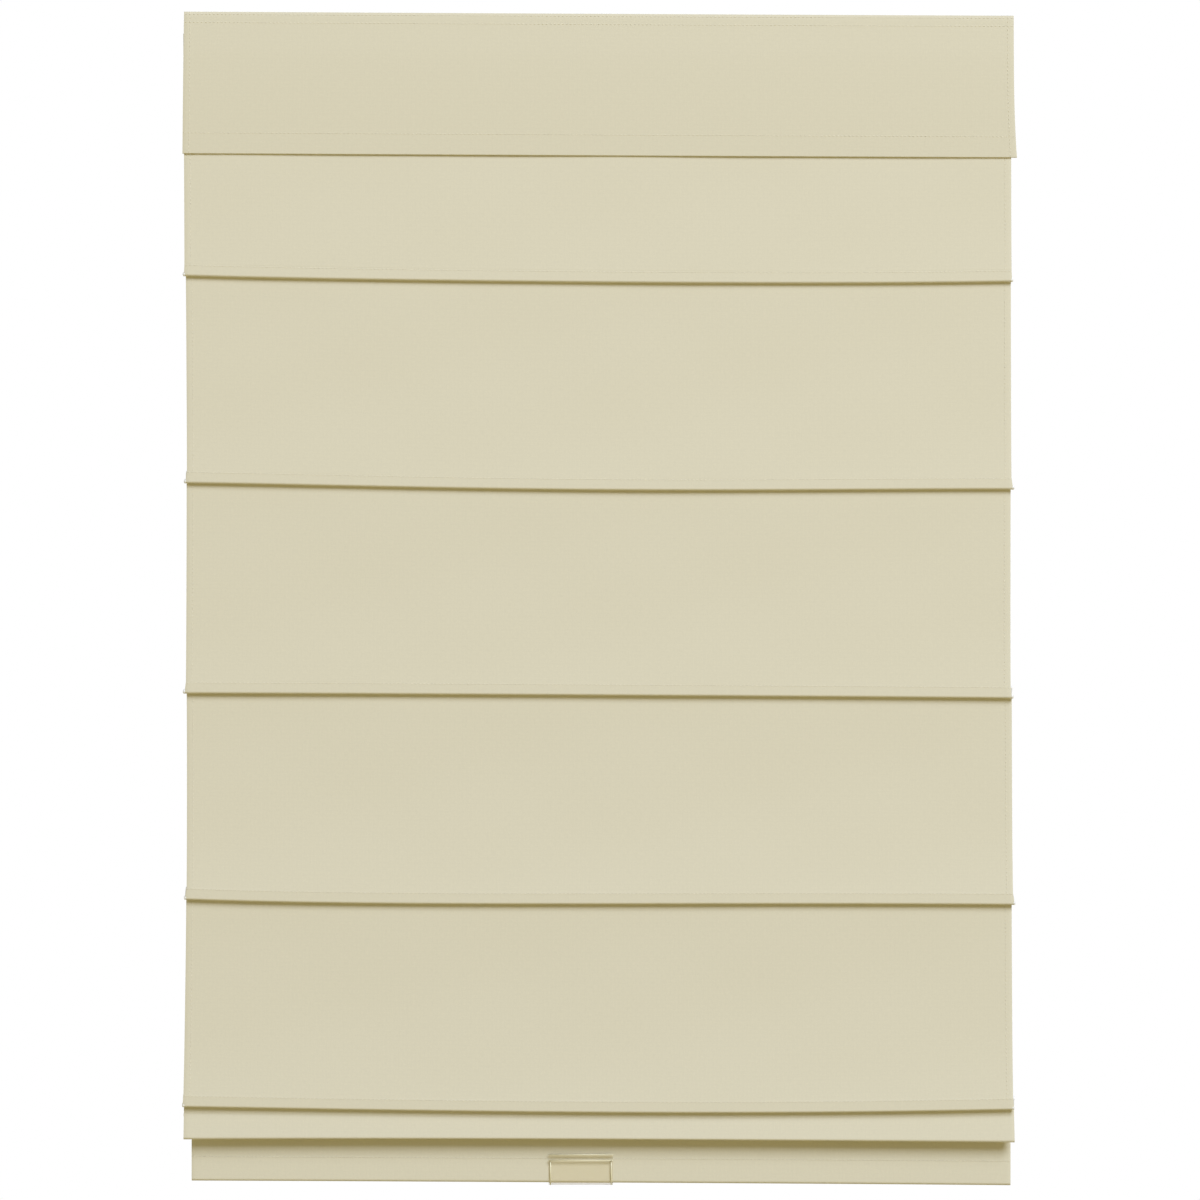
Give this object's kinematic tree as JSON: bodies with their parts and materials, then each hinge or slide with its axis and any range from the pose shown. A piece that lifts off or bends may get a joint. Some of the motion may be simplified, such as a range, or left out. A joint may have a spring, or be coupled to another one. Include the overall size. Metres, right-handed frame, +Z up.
{
  "type": "roman blind",
  "caption": "Cordless roman window blind in cream cloth: a flat valance over a headrail, flat panels with rods in sewn tucks, a weighted hem and a clear pull handle.",
  "frame": {"origin": "on the brackets' top face, midway across the blind and between the ceiling holes, straight above the lift shaft", "axes": "+X to the right as seen from the room, +Y to the rear, away from the room, +Z up"},
  "size_m": [0.914, 0.0633, 1.2863],
  "materials": {
    "cream_cloth": "matte plain weave",
    "white_tape": "napped hook-and-loop",
    "rail_aluminium": "white powder coat over aluminium",
    "bracket_steel": "zinc plated",
    "white_plastic": "satin moulded",
    "shaft_steel": "drawn",
    "spring_steel": "blued ribbon",
    "glass_fibre": "drawn glass fibre",
    "white_cord": "braided",
    "bar_steel": "zinc plated flat bar",
    "clear_plastic": "clear moulded"
  },
  "bodies": {
    "headrail": {"headrail": "rail_aluminium", "end_cap_left": "white_plastic", "end_cap_right": "white_plastic", "bracket_left": "bracket_steel", "bracket_right": "bracket_steel", "valance_hook_tape": "white_tape", "valance_loop_tape": "white_tape", "shade_hook_tape": "white_tape", "shade_loop_tape": "white_tape", "valance": "cream_cloth", "shade_fabric": "cream_cloth", "motor_case": "white_plastic", "motor_cover": "white_plastic", "drive_spring": "spring_steel", "spool_cradle_left": "white_plastic", "spool_cradle_centre": "white_plastic", "spool_cradle_right": "white_plastic", "lift_cord_left": "white_cord", "lift_cord_centre": "white_cord", "lift_cord_right": "white_cord"},
    "bottom": {"rod_5": "glass_fibre", "rod_tips_5": "white_plastic", "cord_guides_5": "white_plastic", "lift_rod": "glass_fibre", "lift_rod_tips": "white_plastic", "bottom_bar": "bar_steel", "bar_end_cap_left": "white_plastic", "bar_end_cap_right": "white_plastic", "pull_handle": "clear_plastic", "cord_anchor_left": "white_plastic", "cord_anchor_centre": "white_plastic", "cord_anchor_right": "white_plastic", "cord_toggle_left": "white_plastic", "cord_toggle_centre": "white_plastic", "cord_toggle_right": "white_plastic"},
    "lift_shaft": {"lift_shaft": "shaft_steel", "shaft_collars": "shaft_steel", "output_drum": "white_plastic", "spool_left": "white_plastic", "spool_centre": "white_plastic", "spool_right": "white_plastic"},
    "storage_drum": {"storage_drum": "white_plastic"},
    "rod_1": {"rod_1": "glass_fibre", "rod_tips_1": "white_plastic", "cord_guides_1": "white_plastic"},
    "rod_2": {"rod_2": "glass_fibre", "rod_tips_2": "white_plastic", "cord_guides_2": "white_plastic"},
    "rod_3": {"rod_3": "glass_fibre", "rod_tips_3": "white_plastic", "cord_guides_3": "white_plastic"},
    "rod_4": {"rod_4": "glass_fibre", "rod_tips_4": "white_plastic", "cord_guides_4": "white_plastic"}
  },
  "joints": [
    {"name": "lift", "type": "slide", "parent": "headrail", "child": "bottom", "axis": [0, 0, 1], "range_m": [0, 0.978], "deforming": ["shade_fabric", "lift_cord_left", "lift_cord_centre", "lift_cord_right"]},
    {"name": "rod_1_rise", "type": "slide", "parent": "headrail", "child": "rod_1", "axis": [0, 0, 1], "range_m": [0, 0.2036]},
    {"name": "rod_2_rise", "type": "slide", "parent": "headrail", "child": "rod_2", "axis": [0, 0, 1], "range_m": [0, 0.3973]},
    {"name": "rod_3_rise", "type": "slide", "parent": "headrail", "child": "rod_3", "axis": [0, 0, 1], "range_m": [0, 0.591]},
    {"name": "rod_4_rise", "type": "slide", "parent": "headrail", "child": "rod_4", "axis": [0, 0, 1], "range_m": [0, 0.7848]},
    {"name": "shaft_turn", "type": "hinge", "parent": "headrail", "child": "lift_shaft", "pos_m": [0, 0, -0.0245], "axis": [-1, 0, 0], "range_deg": [0, 5750]},
    {"name": "storage_turn", "type": "hinge", "parent": "headrail", "child": "storage_drum", "pos_m": [0.15, 0.015, -0.0245], "axis": [-1, 0, 0], "range_deg": [-6225, 0]}
  ],
  "couplings": [
    {"joint": "rod_1_rise", "follows": "lift", "ratio": 0.20765},
    {"joint": "rod_2_rise", "follows": "lift", "ratio": 0.40573},
    {"joint": "rod_3_rise", "follows": "lift", "ratio": 0.60382},
    {"joint": "rod_4_rise", "follows": "lift", "ratio": 0.80191},
    {"joint": "shaft_turn", "follows": "lift", "rad_per_m": 102.56},
    {"joint": "storage_turn", "follows": "lift", "rad_per_m": -111}
  ]
}
